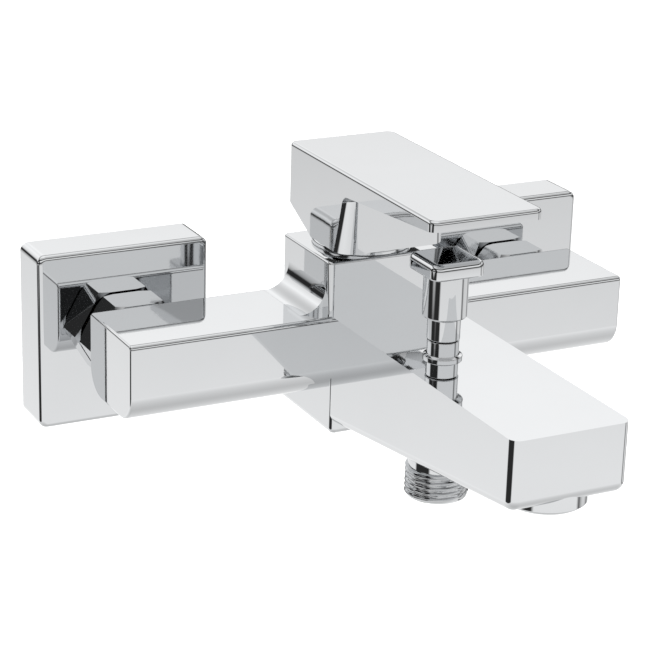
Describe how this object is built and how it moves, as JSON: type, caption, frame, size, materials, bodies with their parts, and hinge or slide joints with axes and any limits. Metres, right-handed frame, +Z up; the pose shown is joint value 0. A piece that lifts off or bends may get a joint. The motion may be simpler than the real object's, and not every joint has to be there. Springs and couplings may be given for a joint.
{
  "type": "wall mounted bath faucet",
  "caption": "Chrome wall mounted single-lever bath and shower mixer with a square crossbar, flat spout, pull-up diverter and threaded hose outlet.",
  "frame": {"origin": "midpoint between the two wall outlets, on the finished wall plane", "axes": "+X to the right as seen from the front, -Y out of the wall toward the user, +Z up"},
  "size_m": [0.212, 0.198, 0.098],
  "materials": {
    "chrome": "mirror polished plating",
    "brass": "machined",
    "rubber": "matte",
    "steel": "drawn wire and turned steel",
    "cartridge_plastic": "moulded",
    "plug_plastic": "moulded",
    "ceramic": "lapped"
  },
  "bodies": {
    "body": {"body_casting": "chrome", "left_escutcheon": "chrome", "right_escutcheon": "chrome", "left_union_nut": "chrome", "right_union_nut": "chrome", "trim_dome": "chrome", "diverter_gland": "chrome", "shower_outlet": "chrome", "aerator_housing": "chrome", "left_eccentric_union": "brass", "right_eccentric_union": "brass", "left_inlet_tail": "brass", "right_inlet_tail": "brass", "cartridge_nut": "brass", "left_filter_washer": "rubber", "right_filter_washer": "rubber", "cartridge_port_seals": "rubber", "gland_o_ring": "rubber", "aerator_washer": "rubber", "diverter_spring": "steel", "check_valve_spring": "steel", "aerator_screen": "steel", "cartridge_base": "cartridge_plastic", "cartridge_housing": "cartridge_plastic", "check_valve_body": "cartridge_plastic", "fixed_ceramic_disc": "ceramic"},
    "rotor": {"cartridge_rotor": "cartridge_plastic", "stem_pin": "steel"},
    "lever": {"cartridge_stem": "brass", "handle": "chrome", "handle_screw": "steel", "index_plug": "plug_plastic"},
    "disc": {"disc_carrier": "cartridge_plastic", "moving_ceramic_disc": "ceramic"},
    "diverter": {"diverter_rod": "brass", "diverter_sleeve": "chrome", "diverter_cap": "chrome", "diverter_valve": "brass", "valve_washers": "rubber"},
    "poppet": {"check_valve_poppet": "rubber"}
  },
  "joints": [
    {"name": "lever_swing", "type": "hinge", "parent": "body", "child": "rotor", "pos_m": [0, -0.047, 0.03], "axis": [0, 0, 1], "range_deg": [-45, 45]},
    {"name": "lever_lift", "type": "hinge", "parent": "rotor", "child": "lever", "pos_m": [0, -0.047, 0.03], "axis": [-1, 0, 0], "range_deg": [0, 22]},
    {"name": "disc_slide", "type": "slide", "parent": "rotor", "child": "disc", "axis": [0, -1, 0], "range_m": [0, 0.0025]},
    {"name": "diverter_pull", "type": "slide", "parent": "body", "child": "diverter", "axis": [0, 0, 1], "range_m": [0, 0.0078], "stiffness_N_per_m": 60, "springref_m": -0.01, "deforming": ["diverter_spring"]},
    {"name": "check_valve_open", "type": "slide", "parent": "body", "child": "poppet", "axis": [0, 0, -1], "range_m": [0, 0.0015], "stiffness_N_per_m": 200, "springref_m": -0.002, "deforming": ["check_valve_spring"]}
  ],
  "couplings": [
    {"joint": "disc_slide", "follows": "lever_lift", "m_per_rad": 0.0062}
  ]
}
